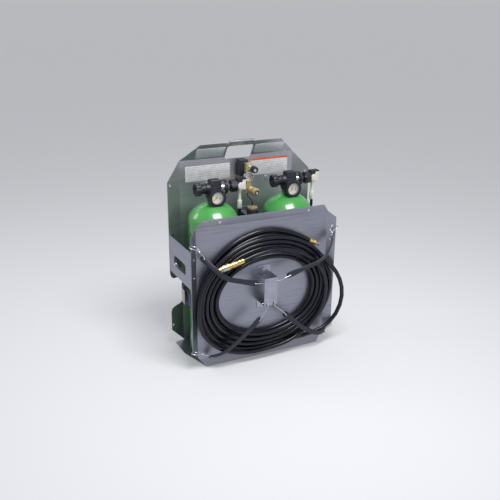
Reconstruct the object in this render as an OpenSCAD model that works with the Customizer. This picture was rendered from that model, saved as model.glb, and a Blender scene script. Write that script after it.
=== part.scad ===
// Air pack: two air cylinders in a folded sheet frame, with a regulator group and a hose coil.
// Millimetres, +Z up, the front faces -Y, the origin is on the floor under the middle of the base.

/* [Frame] */
// Thickness of the frame sheet
sheet = 2; // [1.6:0.1:2.4]
// Half width of the rear panel between its folds
rear_half = 219; // [212:1:226]
// Height of the rear panel up to its top fold
rear_top = 676; // [670:1:700]
// Length of the top flange that carries the handle
flange_len = 66; // [60:1:75]
// Forward lean of the top flange in degrees
flange_lean = 32; // [25:1:36]
// Length of the rear panel's side wings
wing_len = 62.5; // [58:0.5:66]
// Forward angle of the side wings in degrees
wing_angle = 28.6; // [26:0.1:31]
// Half width of the front panel between its folds
front_half = 248; // [244:1:254]
// Height of the front panel up to its lip
front_top = 503; // [495:1:515]
// Length of the front panel's top lip
lip_len = 29; // [24:1:34]

/* [Cylinders] */
// Outer radius of an air cylinder
tank_r = 86.5; // [82:0.5:88]
// Distance of a cylinder's axis from the middle plane
tank_x = 143; // [140:0.5:146]
// Wall thickness of an air cylinder
tank_wall = 7; // [5:0.5:10]
// Width of the webbing strap around a cylinder
band_w = 50; // [40:1:52]

/* [Valves] */
// Radius of a valve knob
knob_r = 22; // [18:0.5:24]
// Radius of a coupling nut
nut_r = 19.5; // [17:0.5:21]
// Radius of a gauge's guard ring
guard_r = 29.5; // [26:0.5:31]

/* [Hose] */
// Outer diameter of the hose
hose_d = 15; // [13:0.5:15]
// Diameter of the hook wire
wire_d = 4; // [3:0.5:4]

/* [Hidden] */
$fn = 36;

// Front faces of the two panels
rear_y = 102;
front_y = -111;
tank_y = -9;
lip_lean = 22;
side_lip = 32;
side_lip_angle = 38.7;
foot_len = 29.6;
foot_lean = 18.9;
wing_dx = wing_len * cos(wing_angle);
wing_dy = wing_len * sin(wing_angle);
flange_dy = flange_len * sin(flange_lean);
flange_dz = flange_len * cos(flange_lean);
lip_dy = lip_len * sin(lip_lean);
lip_dz = lip_len * cos(lip_lean);
side_dx = side_lip * cos(side_lip_angle);
side_dy = side_lip * sin(side_lip_angle);
foot_dz = foot_len * cos(foot_lean);
foot_dy = foot_len * sin(foot_lean);
flange_inset = 65;
lip_inset = 21;
fit = 0.2;

// Side panels and their hand slots
side_z0 = 300;
side_z1 = 431;
slot_y = -25.5;
slot_z = 353.5;
slot_len = 111;
slot_h = 38;
rivet_z = [335, 399];
rivet_u = 13;
hook_u = 20;
hook_z = [68, 450];

// Cylinder shape
dome_z = 489;
knuckle = 45;
crown = tank_r + 6.5;
dome_mid = dome_z - sqrt((crown - knuckle) * (crown - knuckle) - (tank_r - knuckle) * (tank_r - knuckle));
neck_z = dome_mid + crown + 8.12;
tank_z0 = sheet + fit;

// Valve heights and offsets from the cylinder's axis
valve_z = neck_z + 36;
gauge_z = neck_z + 11;
stem_x = tank_r + 12.5;
stem_end = valve_z - 81;
nut_end = stem_x - 14.5;
nut_start = nut_end - 20.5;
back_run = (tank_y + tank_r + rear_y) / 2;

// Webbing strap height
band_z = 205;
band_t = 2.2;
band_r = tank_r + 0.4;
band_turn = 5;

// Regulator group places
reducer_x = 22;
reducer_y = 25;
bar_x = 14;
alarm_x = 8;

// Hose coil: middle, half axes of its inner and outer ovals, and turning
coil_x = 10;
coil_z = 238;
coil_r = hose_d / 2;
coil_step = hose_d + 0.6;
coil_in1 = [186, 187, 146, 144];
coil_in2 = [186, 199, 146, 144];
coil_out1 = [264, 258, 232, 216];
coil_out2 = [258, 271, 218, 216];
coil_t0 = 55;
coil_turns = 10.175;
coil_rate = 1 / 4.6;

function unit(v) = v / norm(v);
function left_of(a, b) = let (d = unit(b - a)) [-d[1], d[0]];
function mitre(p, i, t) =
    i == 0 ? p[0] + t * left_of(p[0], p[1]) :
    i == len(p) - 1 ? p[i] + t * left_of(p[i - 1], p[i]) :
    let (n1 = left_of(p[i - 1], p[i]), n2 = left_of(p[i], p[i + 1]))
    p[i] + t * (n1 + n2) / (1 + n1 * n2);

// A folded sheet's section: a line of folds given a thickness to its left
function fold(p, t) = concat(p, [for (i = [len(p) - 1 : -1 : 0]) mitre(p, i, t)]);

function smooth(x) = let (c = max(0, min(1, x))) c * c * (3 - 2 * c);
function mix(a, b, u) = a + (b - a) * u;
function cat(p, i, u) =
    let (n = len(p) - 1, a = p[max(0, i - 1)], b = p[i], c = p[i + 1], d = p[min(n, i + 2)])
    0.5 * (2 * b + (c - a) * u + (2 * a - 5 * b + 4 * c - d) * u * u + (3 * b - a - 3 * c + d) * u * u * u);
function spline(p, m) = concat([for (i = [0 : len(p) - 2]) for (j = [0 : m - 1]) cat(p, i, j / m)],
    [p[len(p) - 1]]);
function tangent(p, i) = unit(p[min(len(p) - 1, i + 1)] - p[max(0, i - 1)]);

// Rings of points around a line of points, for a round tube
function tube_rings(p, r, k, ref) = [for (i = [0 : len(p) - 1])
    let (t = tangent(p, i), s = unit(cross(t, ref)), n = cross(s, t))
    [for (j = [0 : k - 1]) p[i] + r * (cos(360 * j / k) * s + sin(360 * j / k) * n)]];

// A closed solid through rings of equal length
module loft(rings) {
    n = len(rings);
    k = len(rings[0]);
    pts = [for (r = rings) for (q = r) q];
    sides = [for (i = [0 : n - 2]) for (j = [0 : k - 1]) let (a = i * k + j, b = i * k + (j + 1) % k)
        each [[a, a + k, b], [b, a + k, b + k]]];
    first = [for (j = [1 : k - 2]) [0, j, j + 1]];
    last = [for (j = [1 : k - 2]) [(n - 1) * k, (n - 1) * k + j + 1, (n - 1) * k + j]];
    polyhedron(points = pts, faces = concat(sides, first, last), convexity = 8);
}

module along_x(x0, x1, r, y = 0, z = 0) {
    translate([x0, y, z]) rotate([0, 90, 0]) cylinder(h = x1 - x0, r = r);
}

module along_y(y0, y1, r, x = 0, z = 0) {
    translate([x, y0, z]) rotate([-90, 0, 0]) cylinder(h = y1 - y0, r = r);
}

// Flat outlines: drawn in X and Z and cut along Y, or drawn in Y and Z and drawn out along X
module through_y(y0, y1) {
    translate([0, y1, 0]) rotate([90, 0, 0]) linear_extrude(y1 - y0) children();
}

module out_x(x0, x1) {
    translate([x0, 0, 0]) rotate([90, 0, 90]) linear_extrude(x1 - x0) children();
}

module round_rect(w, h, r) {
    square([w - 2 * r, h], center = true);
    square([w, h - 2 * r], center = true);
    for (x = [-1, 1]) for (y = [-1, 1]) translate([x * (w / 2 - r), y * (h / 2 - r)]) circle(r);
}

// Round wire or pipe through points, with a ball at each bend
module pipe(p, r) {
    for (i = [0 : len(p) - 2]) {
        d = p[i + 1] - p[i];
        translate(p[i]) rotate([0, acos(d[2] / norm(d)), atan2(d[1], d[0])])
            cylinder(h = norm(d), r = r, $fn = 12);
    }
    for (i = [1 : len(p) - 2]) translate(p[i]) sphere(r, $fn = 12);
}

module both() {
    children();
    mirror([1, 0, 0]) children();
}

// Places on the folded parts, on the right side: local Y runs through the sheet from front to back
module on_wing(u, z) {
    translate([rear_half, rear_y, z]) rotate([0, 0, -wing_angle]) translate([u, 0, 0]) children();
}

module on_side_lip(u, z) {
    translate([front_half, front_y, z]) rotate([0, 0, -side_lip_angle]) translate([u, 0, 0]) children();
}

module on_top_lip(x, u) {
    translate([x, front_y, front_top]) rotate([lip_lean, 0, 0]) translate([0, 0, u]) children();
}

module on_flange(u) {
    translate([0, rear_y, rear_top]) rotate([flange_lean, 0, 0]) translate([0, 0, u]) children();
}

// Rear panel: one folded sheet with two wings and a leaning top flange
module rear_panel() color("#b9bcc4") difference() {
    union() {
        linear_extrude(rear_top) polygon(fold([[-rear_half - wing_dx, rear_y - wing_dy], [-rear_half, rear_y],
            [rear_half, rear_y], [rear_half + wing_dx, rear_y - wing_dy]], sheet));
        out_x(-rear_half, rear_half) polygon(fold([[rear_y - flange_dy, rear_top + flange_dz],
            [rear_y, rear_top], [rear_y, rear_top - 40]], sheet));
    }
    both() through_y(0, 200) {
        polygon([[rear_half + 0.5, rear_top + 0.4], [rear_half + 62, rear_top - 62 * 62 / wing_dx],
            [rear_half + 110, rear_top - 70], [rear_half + 110, rear_top + 90],
            [rear_half - flange_inset * 90 / flange_dz, rear_top + 90]]);
        polygon([[rear_half + 70, 286], [rear_half + wing_dx, 284], [rear_half + wing_dx - 4, 272],
            [rear_half + wing_dx - 14, 263], [rear_half + 21, 260], [rear_half, 239], [rear_half, 165],
            [rear_half + 12, 156], [rear_half + wing_dx - 15, 153], [rear_half + wing_dx - 4, 149],
            [rear_half + wing_dx, 138], [rear_half + 70, 136]]);
        polygon([[rear_half - 4, -1], [rear_half + 0.5, 5], [rear_half + 66, 78], [rear_half + 66, -1]]);
        translate([tank_x - band_r - 1.1, band_z]) square([8, band_w + 6], center = true);
    }
    through_y(0, 200) translate([0, rear_top + 17.5]) round_rect(100, 49, 9);
    both() {
        for (z = rivet_z) on_wing(51, z) along_y(-5, 10, 2.1);
        on_wing(49, 600) along_y(-5, 10, 4.5);
        on_wing(54, 84) along_y(-5, 10, 4.5);
        along_y(90, 120, 3.1, 115, 586);
    }
}

// Front panel: one folded sheet whose top, sides and foot all lean forward, like a shallow tray
module front_panel() color("#b3b6bf") difference() {
    union() {
        out_x(-front_half, front_half) polygon(fold([[front_y - lip_dy, front_top + lip_dz],
            [front_y, front_top], [front_y, foot_dz], [front_y - foot_dy, sheet * sin(foot_lean)]], sheet));
        translate([0, 0, 32]) linear_extrude(front_top - 32)
            polygon(fold([[-front_half - side_dx, front_y - side_dy], [-front_half, front_y],
                [front_half, front_y], [front_half + side_dx, front_y - side_dy]], sheet));
    }
    both() through_y(-180, -60) {
        polygon([[front_half + 0.5, front_top + 0.4], [front_half + 30, front_top - 30 * lip_inset / side_dx],
            [front_half + 60, front_top - 40], [front_half + 60, front_top + 60],
            [front_half - lip_inset * 60 / lip_dz, front_top + 60]]);
        polygon([[front_half - 31, -2], [front_half + 27, 69], [front_half + 60, 69], [front_half + 60, -2]]);
    }
    both() {
        for (z = rivet_z) on_side_lip(rivet_u, z) along_y(-5, 10, 2.1);
        for (z = hook_z) on_side_lip(hook_u, z) along_y(-5, 10, 4);
        on_top_lip(166, 15) along_y(-5, 10, 2.1);
    }
    for (z = [200, 326]) along_y(-130, -90, 3.1, 0, z);
}

// Base plate: floor sheet with upturned flanges inside both panels
module base_plate() color("#aeb1ba") {
    t = foot_dy / foot_dz;
    y0 = front_y - foot_dy + (sheet + fit) / cos(foot_lean);
    out_x(-212, 212) polygon(fold([[y0 + 22 * t, 22], [y0, 0], [rear_y - fit, 0], [rear_y - fit, 22]], sheet));
    linear_extrude(sheet) polygon([[-220, y0 + sheet * t], [220, y0 + sheet * t], [rear_half + 36, 0],
        [rear_half + 36, 94], [rear_half + 8, rear_y - fit], [-rear_half - 8, rear_y - fit],
        [-rear_half - 36, 94], [-rear_half - 36, 0]]);
}

// Side panel: tabs behind the front panel's lip and in front of the wing, with a flanged hand slot
module side_panel() {
    n = [sin(side_lip_angle), cos(side_lip_angle)];
    d = [cos(side_lip_angle), -sin(side_lip_angle)];
    w = [cos(wing_angle), -sin(wing_angle)];
    m = [-sin(wing_angle), -cos(wing_angle)];
    a = [front_half, front_y] + (sheet + fit) * n;
    b = [rear_half, rear_y] + fit * m;
    p = a + (side_lip - 0.3) * d;
    q = b + (wing_len - 0.3) * w;
    turn = atan2(p[0] - q[0], q[1] - p[1]);
    difference() {
        union() {
            translate([0, 0, side_z0]) linear_extrude(side_z1 - side_z0)
                polygon(fold([a + 3 * d, p, q, b + (wing_len - 22) * w], sheet));
            translate([p[0], p[1], 0]) rotate([0, 0, turn]) out_x(-10, -1) translate([slot_y - p[1], slot_z])
                round_rect(slot_len + 2 * sheet, slot_h + 2 * sheet, 12 + sheet);
        }
        translate([p[0], p[1], 0]) rotate([0, 0, turn]) out_x(-26, 14) translate([slot_y - p[1], slot_z])
            round_rect(slot_len, slot_h, 12);
        for (z = rivet_z) {
            on_side_lip(rivet_u, z) along_y(-5, 10, 2.1);
            on_wing(51, z) along_y(-8, 10, 2.1);
        }
    }
}

module right_side_panel() color("#b6b8c2") side_panel();

module left_side_panel() color("#b6b8c2") mirror([1, 0, 0]) side_panel();

// Handle grip: a split bead over the top edge of the flange
module handle_grip() color("#c4c7cd") on_flange(flange_len) out_x(-46, 46) difference() {
    translate([sheet / 2, 2.6]) circle(5.2);
    translate([-0.1, -12]) square([sheet + 0.2, 12.1]);
}

// Hose bracket: hat section whose front plate takes the four hooks
module hose_bracket() color("#c2c5cc") difference() {
    y = front_y - fit;
    out_x(-25, 25) polygon(fold([[y, 185], [y, 215], [y - 56, 215], [y - 56, 311], [y, 311], [y, 341]], sheet));
    for (x = [-15, 15]) for (z = [224, 302]) along_y(y - 70, y - 40, 2.5, x, z);
    for (z = [200, 326]) along_y(y - 10, y + 10, 3.1, 0, z);
}

// One rivet through sheets of total thickness h, head towards -Y
module rivet(h) {
    along_y(-1.8, 0, 4.2);
    along_y(-0.5, h + 0.5, 2);
    along_y(h, h + 1.4, 3.2);
}

module frame_rivets() color("#d5d7da") both() {
    for (z = rivet_z) {
        on_side_lip(rivet_u, z) rivet(2 * sheet + fit);
        on_wing(51, z) translate([0, -sheet - fit, 0]) rivet(2 * sheet + fit);
    }
    on_top_lip(166, 15) rivet(sheet);
}

// One bolt with its nut behind sheets of total thickness h
module bolt(h, r) {
    along_y(-3.6, 0, r);
    along_y(-1, h + 7, 3);
    translate([0, h, 0]) rotate([-90, 0, 0]) cylinder(h = 5, r = 6, $fn = 6);
}

module panel_bolts() color("#cfd2d6") {
    for (z = [200, 326]) translate([0, front_y - fit - sheet, z]) bolt(2 * sheet + fit, 6.5);
    both() translate([115, rear_y, 586]) bolt(sheet, 7.5);
}

// Eyelets in the wings, where a harness or a cart is bolted on
module eyelet() difference() {
    union() {
        along_y(-1, 0, 6.2);
        along_y(-0.5, sheet + 0.5, 4.4);
        along_y(sheet, sheet + 1, 6.2);
    }
    along_y(-3, 6, 3.3);
}

module harness_eyelets() color("#d8dadd") both() {
    on_wing(49, 600) eyelet();
    on_wing(54, 84) eyelet();
}

// Places at the two cylinders: -1 is the left one
module at_tank(s) {
    translate([s * tank_x, tank_y, 0]) children();
}

// Half outline of a cylinder with a domed top and a rounded foot
module tank_outline(r, z0, foot, k, c) {
    h = c - sqrt((c - k) * (c - k) - (r - k) * (r - k));
    a = [r - k, c - h];
    t = a / norm(a);
    intersection() {
        translate([0, -50]) square([r, 800]);
        union() {
            translate([0, z0 + foot]) square([r, dome_z - z0 - foot]);
            translate([0, z0]) square([r - foot, foot + 1]);
            translate([r - foot, z0 + foot]) circle(foot);
            translate([r - k, dome_z]) circle(k);
            translate([0, dome_z + h - c]) intersection() {
                circle(c);
                polygon([[0, 0], 2 * c * t, [0, 2 * c]]);
            }
        }
    }
}

module tank() rotate_extrude($fn = 72) difference() {
    union() {
        tank_outline(tank_r, tank_z0, 22, knuckle, crown);
        translate([0, dome_z]) square([20.8, neck_z - dome_z]);
    }
    tank_outline(tank_r - tank_wall, tank_z0 + 9, 16, knuckle - tank_wall, crown - tank_wall);
    translate([0, dome_z]) square([14, 100]);
}

module left_cylinder() color("#5db35a") at_tank(-1) tank();

module right_cylinder() color("#5db35a") at_tank(1) tank();

// Valve body: neck plug, cross barrel, gauge boss and the block on top
module valve_body() difference() {
    union() {
        translate([0, 0, neck_z - 18]) cylinder(h = 20, r = 13.9);
        translate([0, 0, neck_z + fit]) cylinder(h = 24, r = 21);
        along_x(-27, 25, 17.5, 0, valve_z);
        through_y(-21, 12) translate([0, gauge_z + 3]) intersection() {
            circle(23);
            translate([-30, neck_z + fit - gauge_z - 3]) square([60, 60]);
        }
        intersection() {
            through_y(-16, 15) translate([0, valve_z])
                polygon([[-15, 0], [-12, 27], [-9, 30], [20, 30], [23, 27], [25, 0]]);
            out_x(-30, 30) translate([0, valve_z])
                polygon([[-18, 0], [-14, 27], [-11, 30], [11, 30], [14, 27], [18, 0]]);
        }
    }
    along_x(-40, -6, 5.08, 0, valve_z);
}

module left_valve_body() color("#24242a") at_tank(-1) valve_body();

module right_valve_body() color("#24242a") at_tank(1) valve_body();

// Valve knob with its spindle: a scalloped wheel and a waisted hub
module valve_knob() translate([0, 0, valve_z]) {
    difference() {
        union() {
            along_x(-64, -46, knob_r);
            along_x(-46.5, -38, 14);
            along_x(-38.5, -27.5, 16.5);
        }
        for (i = [0 : 7]) rotate([45 * i + 22.5, 0, 0]) along_x(-66, -44, 5, 0, knob_r + 2.6);
        along_x(-66, -61, 12);
    }
    along_x(-30, -8, 5);
}

module left_valve_knob() color("#1d1d22") at_tank(-1) valve_knob();

module right_valve_knob() color("#1d1d22") at_tank(1) valve_knob();

// Valve outlet: nipple with a wide guard ring
module valve_outlet() translate([0, 0, valve_z]) {
    along_x(25.2, nut_end - 8.5, 10.8);
    along_x(38, 46, 21);
}

module left_valve_outlet() color("#c8cacf") at_tank(-1) valve_outlet();

module right_valve_outlet() color("#c8cacf") at_tank(1) valve_outlet();

// Gauge case: guard ring in front of the valve, open in front for dial and lens, cut clear of the dome
module gauge_case() difference() {
    along_y(-43, -21.2, guard_r, 0, gauge_z);
    along_y(-50, -31, 21, 0, gauge_z);
    along_y(-35, -29, 2.2, 0, gauge_z);
    translate([0, 0, dome_mid]) rotate_extrude($fn = 72) intersection() {
        circle(crown + 0.4);
        translate([0, -200]) square([200, 400]);
    }
}

module left_gauge_case() color("#202026") at_tank(-1) gauge_case();

module right_gauge_case() color("#202026") at_tank(1) gauge_case();

// Needle with its pivot, standing off a dial at y = 0, pointing to lower left at rest
module needle(l) {
    along_y(-3.4, 1.6, 1);
    along_y(-3.4, -1.6, 2.6);
    rotate([0, -45, 0]) translate([0, -2.9, 0]) rotate([90, 0, 0]) linear_extrude(0.8, center = true)
        polygon([[-l, 0.3], [-l, -0.3], [0, -1.3], [5, -0.9], [5, 0.9], [0, 1.3]]);
}

module dial(r) difference() {
    along_y(-0.8, 0, r);
    along_y(-2, 2, 1.08);
}

module left_gauge_needle() color("#15151a") at_tank(-1) translate([0, -31.2, gauge_z]) needle(15);

module right_gauge_needle() color("#15151a") at_tank(1) translate([0, -31.2, gauge_z]) needle(15);

module gauge_dials() color("#efe6cf") {
    for (s = [-1, 1]) at_tank(s) translate([0, -31.05, gauge_z]) dial(20.8);
    translate([9, 34.95, 616]) dial(14.3);
}

module gauge_lenses() color("#dfe6ea", 0.4) {
    for (s = [-1, 1]) at_tank(s) along_y(-41.6, -39.8, 20.8, 0, gauge_z);
    along_y(26.2, 27.8, 14.3, 9, 616);
}

// Coupling nut: a hexagon hand nut with rounded corners, turning on the outlet's thread
module coupling_nut() translate([0, 0, valve_z]) difference() {
    intersection() {
        rotate([0, 90, 0]) rotate([0, 0, 30]) translate([0, 0, nut_start])
            cylinder(h = nut_end - nut_start, r = nut_r / cos(30), $fn = 6);
        along_x(nut_start, nut_end, nut_r + 1.6);
    }
    along_x(nut_start - 3, nut_end - 3.9, 11.2);
    along_x(nut_start - 3, nut_end + 2, 8.2);
}

module left_coupling_nut() color("#1b1b20") at_tank(-1) coupling_nut();

module right_coupling_nut() color("#1b1b20") at_tank(1) coupling_nut();

// Hose elbow: gland held by the nut, forged elbow, stem and crimped ferrule
module hose_elbow() {
    translate([0, 0, valve_z]) {
        along_x(nut_end - 8.3, nut_end - 4.2, 10.6);
        along_x(nut_end - 4.5, stem_x + 1, 7.8);
        translate([stem_x, 10, 0]) rotate([90, 0, 0]) cylinder(h = 23, r = 13.6, $fn = 6);
        along_y(-14, -12.9, 9, stem_x, 0);
        translate([stem_x + 12.5, -3, 3]) linear_extrude(34, center = true) round_rect(14, 18, 4);
    }
    translate([stem_x, 0, stem_end]) {
        translate([0, 0, 27]) cylinder(h = valve_z - stem_end - 27, r = 5.3);
        translate([0, 0, 61]) cylinder(h = 9, r = 8.2, $fn = 6);
        cylinder(h = 28, r = 8.2);
        translate([0, 0, 24]) cylinder(h = 5, r = 6.8);
    }
}

module left_hose_elbow() color("#d9dadd") at_tank(-1) hose_elbow();

module right_hose_elbow() color("#d9dadd") at_tank(1) hose_elbow();

// Pressure hoses from the elbows to the reducer, one around each way
module left_pressure_hose() color("#1a1c1e") {
    x = stem_x - tank_x;
    loft(tube_rings(spline([[x, tank_y, stem_end - 0.1], [x, tank_y, stem_end - 21], [x + 1, tank_y + 2, 470],
        [x + 9, tank_y + 18, 444], [reducer_x - 42, reducer_y - 1, 432], [reducer_x - 40, reducer_y, 430],
        [reducer_x - 30.2, reducer_y, 430]], 6), 5, 8, [0.3, 0.8, 0.52]));
}

module right_pressure_hose() color("#1a1c1e") {
    x = stem_x + tank_x;
    loft(tube_rings(spline([[x, tank_y, stem_end - 0.1], [x, tank_y, stem_end - 21], [x, tank_y + 5, 470],
        [x - 1, 28, 446], [x - 8, 60, 434], [x - 30, back_run - 6, 430], [x - 70, back_run, 430],
        [x - 130, back_run, 430], [reducer_x + 48, back_run - 1, 430], [reducer_x + 18, back_run - 6, 430],
        [reducer_x + 3, 72, 430], [reducer_x, 62, 430], [reducer_x, 56.2, 430]], 5), 5, 8, [0.35, 0.3, 0.89]));
}

// Pressure reducer between the cylinders, held off the rear panel
module reducer_body() color("#1e1e23") translate([reducer_x, reducer_y, 0]) {
    translate([0, 0, 405]) cylinder(h = 95, r = 20);
    translate([0, 0, 398]) cylinder(h = 8, r = 14);
    along_x(-30, 0, 8, 0, 430);
    along_y(0, 31, 8, 0, 430);
}

module reducer_cap() color("#d8b36a") translate([reducer_x, reducer_y, 0]) {
    translate([0, 0, 500.1]) cylinder(h = 8, r = 17.5);
    translate([0, 0, 508]) cylinder(h = 6, r = 6.5, $fn = 6);
}

module reducer_bracket() color("#b0b3ba") difference() {
    union() {
        translate([reducer_x, reducer_y, 464]) cylinder(h = 10, r = 25);
        translate([reducer_x - 9, reducer_y + 15, 466]) cube([18, rear_y - fit - reducer_y - 15, 6]);
        translate([reducer_x - 22, rear_y - fit - 3, 450]) cube([44, 3, 38]);
    }
    translate([reducer_x, reducer_y, 460]) cylinder(h = 20, r = 20.1);
}

// Brass manifold bar in front of the alarm housing
module manifold_block() color("#c9a24e") difference() {
    translate([bar_x - 10, 40, 556]) cube([20, 18, 104]);
    translate([bar_x - 20, 30, 585]) cube([13, 20, 14]);
}

module alarm_housing() color("#222228") translate([alarm_x, (58.2 + rear_y - fit) / 2, 612]) {
    linear_extrude(47) round_rect(36, rear_y - fit - 58.2, 9);
    translate([0, 0, 46.9]) linear_extrude(8.1) round_rect(30, rear_y - fit - 64.2, 6);
}

// Air outlets: sockets with a bore for the hose's plug, each with a sliding sleeve
module outlet_socket(r, y0) difference() {
    union() {
        along_y(y0, 36.5, r);
        along_y(32, 40 - fit, r + 2);
        along_y(y0, y0 + 3, r + 1.2);
    }
    along_y(y0 - 3, 26, 5.5);
}

module outlet_sleeve(r, l, y0) difference() {
    along_y(y0 + 3.6, y0 + 3.6 + l, r + 3.2);
    along_y(y0 - 2, 60, r + 0.35);
}

module upper_outlet_socket() color("#c9cbd0") translate([20, 0, 644]) outlet_socket(9, 2);

module upper_outlet_sleeve() color("#1c1c20") translate([20, 0, 644]) outlet_sleeve(9, 12, 2);

module lower_outlet_socket() color("#cfa850") translate([22, 0, 567]) outlet_socket(10.5, -10);

module lower_outlet_sleeve() color("#d4b060") translate([22, 0, 567]) outlet_sleeve(10.5, 20, -10);

// Small gauge on the manifold
module manifold_gauge_case() color("#c6c8cc") translate([9, 0, 616]) difference() {
    along_y(25, 40 - fit, 17);
    along_y(20, 35, 14.5);
    along_y(30, 37.5, 2.2);
}

module manifold_gauge_needle() color("#15151a") translate([9, 34.8, 616]) needle(10.5);

module supply_tube() color("#c0c2c6") pipe([[reducer_x, reducer_y, 514.1], [reducer_x, reducer_y, 526],
    [bar_x, 49, 542], [bar_x, 49, 555.9]], 3.2);

// Webbing band around the right cylinder and the rear panel: the outer run slants to the panel's edge
function band_ring(r, y) = concat(
    [for (i = [0 : 40]) let (q = 180 + (180 + band_turn) * i / 40) r * [cos(q), sin(q)]],
    [[r * cos(band_turn) - (y - r * sin(band_turn)) * tan(band_turn), y], [-r, y]]);

module cylinder_band() {
    y = rear_y + sheet + 0.3 - tank_y;
    translate([0, 0, band_z - band_w / 2]) linear_extrude(band_w) difference() {
        polygon(band_ring(band_r + band_t, y + band_t));
        polygon(band_ring(band_r, y));
    }
}

module right_cylinder_strap() color("#23305c") at_tank(1) cylinder_band();

module left_cylinder_strap() color("#23305c") mirror([1, 0, 0]) at_tank(1) cylinder_band();

// Cam buckle on the outer run of the right band, in a frame that runs along the band
module on_band() {
    at_tank(1) rotate([0, 0, band_turn]) translate([band_r, 62, band_z]) children();
}

module buckle_frame() on_band() difference() {
    union() {
        translate([-2.2, -18, -30]) cube([2, 36, 60]);
        for (z = [-30, 28]) translate([-1, -7, z]) {
            cube([9, 14, 2]);
            translate([8.6, 7, 0]) cylinder(h = 2, r = 5);
        }
    }
    translate([7.6, 0, -40]) cylinder(h = 80, r = 2.1);
}

module buckle_lever() on_band() translate([7.6, 0, -27]) difference() {
    union() {
        cylinder(h = 54, r = 4.9);
        translate([2.8, -40, 0]) cube([2, 40, 54]);
        translate([2.8, -41, 0]) cube([4, 2, 54]);
    }
    translate([0, 0, -1]) cylinder(h = 60, r = 2.08);
}

module right_buckle_frame() color("#c3c6cb") buckle_frame();

module left_buckle_frame() color("#c3c6cb") mirror([1, 0, 0]) buckle_frame();

module right_buckle_lever() color("#d0d3d8") buckle_lever();

module left_buckle_lever() color("#d0d3d8") mirror([1, 0, 0]) buckle_lever();

module buckle_pins() color("#d9dbde") both() on_band() translate([7.6, 0, -31]) {
    cylinder(h = 62, r = 2);
    cylinder(h = 0.8, r = 3.4);
    translate([0, 0, 61.2]) cylinder(h = 0.8, r = 3.4);
}

// Hose coil: in along the panel, up a layer, out again, then the last loop lies across the front
function coil_rho(n) =
    n < 5.1 ? 1 - n * coil_rate :
    n < 5.85 ? mix(1 - 5.1 * coil_rate, 0.1335, (n - 5.1) / 0.75) :
    n < 9.4 ? 0.1335 + (n - 5.85) * coil_rate :
    0.1335 + 3.55 * coil_rate - 0.13 * smooth((n - 9.4) / 0.2) - 0.456 * smooth((n - 9.6) / 0.4);
function coil_start(n) = 1 - smooth(n / 0.12);
function coil_layer(n) = smooth((n - 4.6) / 0.5) + smooth((n - 9.12) / 0.25) + 0.45 * smooth((n - 9.75) / 0.35)
    + 0.5 * coil_start(n) + 0.9 * smooth((n - 0.7) / 0.06) * (1 - smooth((n - 0.86) / 0.06))
    + 0.5 * smooth((n - 8.69) / 0.05) * (1 - smooth((n - 8.88) / 0.06));
function coil_slack(n) = let (d = n - 8.775, w = d < 0 ? 0.15 : 0.18)
    abs(d) < w ? 35.5 * (1 + cos(180 * d / w)) : 0;
function coil_bulge(c, s, o) = (c > 0 && s > 0 ? 10 * o - 10 : c < 0 && s < 0 ? 20 : 0) * 2 * abs(c * s);
function coil_point(n) =
    let (t = coil_t0 + 360 * n, c = cos(t), s = sin(t), r = coil_rho(n), l = coil_layer(n),
        i = c > 0 ? 0 : 1, j = s > 0 ? 2 : 3, o = n < 4 ? 0 : min(1, l),
        k = r * coil_bulge(c, s, o) + coil_slack(n) - 2 * coil_start(n),
        a = mix(mix(coil_in1[i], coil_in2[i], o), mix(coil_out1[i], coil_out2[i], o), r) + k,
        b = mix(mix(coil_in1[j], coil_in2[j], o), mix(coil_out1[j], coil_out2[j], o), r) + k)
    [coil_x + a * c, front_y - 0.6 - coil_r - coil_step * l, coil_z + b * s];
coil_line = [for (i = [0 : round(coil_turns * 24)]) coil_point(i / 24)];
coil_end = len(coil_line) - 1;
coil_dir0 = unit(coil_line[0] - coil_line[1]);
coil_dir1 = unit(coil_line[coil_end] - coil_line[coil_end - 1]);
coil_path = concat([coil_line[0] + hose_d * coil_dir0], coil_line, [coil_line[coil_end] + hose_d * coil_dir1]);
coil_tip0 = coil_path[0];
coil_tip1 = coil_path[len(coil_path) - 1];
coil_gap = min([for (i = [0 : coil_end - 8]) for (j = [i + 8 : coil_end]) norm(coil_line[i] - coil_line[j])])
    - hose_d;
echo(coil_gap = coil_gap);

module hose_coil() color("#1b1d24") loft(tube_rings(coil_path, coil_r, 6, [0, 1, 0]));

// Places at the hose's two ends, with +Z leading away from the hose
module aim(p, d) {
    translate(p) rotate([0, acos(d[2]), atan2(d[1], d[0])]) children();
}

module hose_plug() color("#d6ad4a") aim(coil_tip0, coil_dir0) translate([0, 0, 0.05]) {
    cylinder(h = 20, r = 7.8);
    translate([0, 0, 19.9]) cylinder(h = 9, r = 7.9, $fn = 6);
    translate([0, 0, 28]) cylinder(h = 8, r = 5.6);
    translate([0, 0, 35]) cylinder(h = 6, r = 4.2);
    translate([0, 0, 40]) cylinder(h = 7, r = 5.6);
}

module hose_coupler() color("#d6ad4a") aim(coil_tip1, coil_dir1) translate([0, 0, 0.05]) difference() {
    union() {
        cylinder(h = 30, r = 8.8);
        translate([0, 0, 29.9]) cylinder(h = 14, r = 11, $fn = 6);
        translate([0, 0, 43]) cylinder(h = 40, r = 8.6);
        translate([0, 0, 80]) cylinder(h = 4, r = 10.4);
        translate([0, 0, 83.9]) cylinder(h = 2.1, r = 9);
        translate([0, 0, 85.9]) cylinder(h = 17, r1 = 9, r2 = 6.5);
    }
    translate([0, 0, 60]) cylinder(h = 60, r = 5.5);
}

module hose_coupler_sleeve() color("#e0bd66") aim(coil_tip1, coil_dir1) difference() {
    translate([0, 0, 52]) cylinder(h = 27.6, r = 12);
    translate([0, 0, 40]) cylinder(h = 60, r = 8.95);
}

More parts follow.
